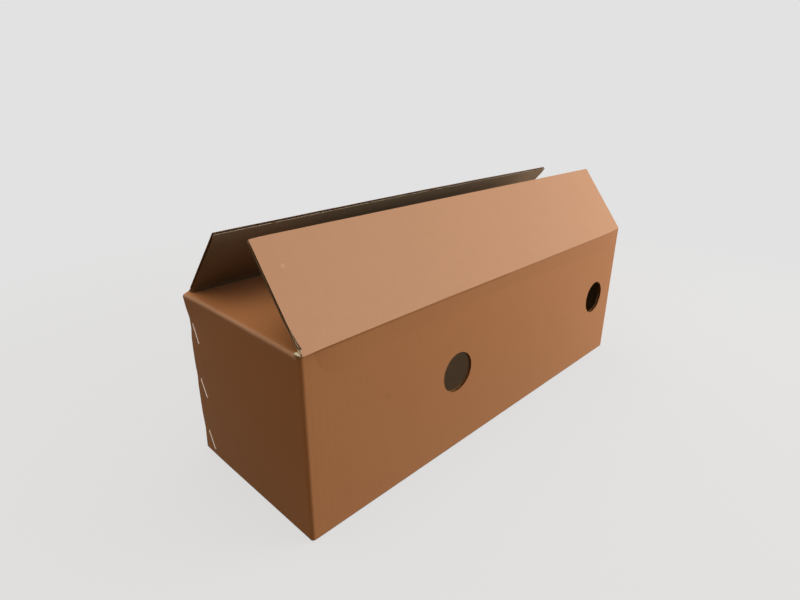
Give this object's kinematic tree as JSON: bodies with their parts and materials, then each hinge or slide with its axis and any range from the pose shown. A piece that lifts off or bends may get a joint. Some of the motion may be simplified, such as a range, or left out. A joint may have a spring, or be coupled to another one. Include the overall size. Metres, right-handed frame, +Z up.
{
  "type": "ventilated cardboard box",
  "caption": "Long slotted corrugated carton with round vent holes in both long panels, a wire-stitched corner joint and hinged long top flaps, for packing produce.",
  "frame": {"origin": "middle of the underside, on the floor", "axes": "+X along the length, away from the stitched end; +Y from the front panel to the back panel; +Z up"},
  "size_m": [0.5928, 0.208, 0.2816],
  "materials": {
    "kraft_board": "matte brown kraft liner",
    "kraft_liner": "matte brown kraft liner on open flutes",
    "stitching_wire": "galvanised flat wire"
  },
  "bodies": {
    "carton": {"carton_body": "kraft_board", "joint_stitches": "stitching_wire"},
    "front_flap": {"front_top_flap": "kraft_liner"},
    "back_flap": {"back_top_flap": "kraft_liner"}
  },
  "joints": [
    {"name": "front_flap_crease", "type": "hinge", "parent": "carton", "child": "front_flap", "pos_m": [0, -0.104, 0.2], "axis": [1, 0, 0], "range_deg": [-52, 210]},
    {"name": "back_flap_crease", "type": "hinge", "parent": "carton", "child": "back_flap", "pos_m": [0, 0.104, 0.2], "axis": [-1, 0, 0], "range_deg": [-46, 216]}
  ]
}
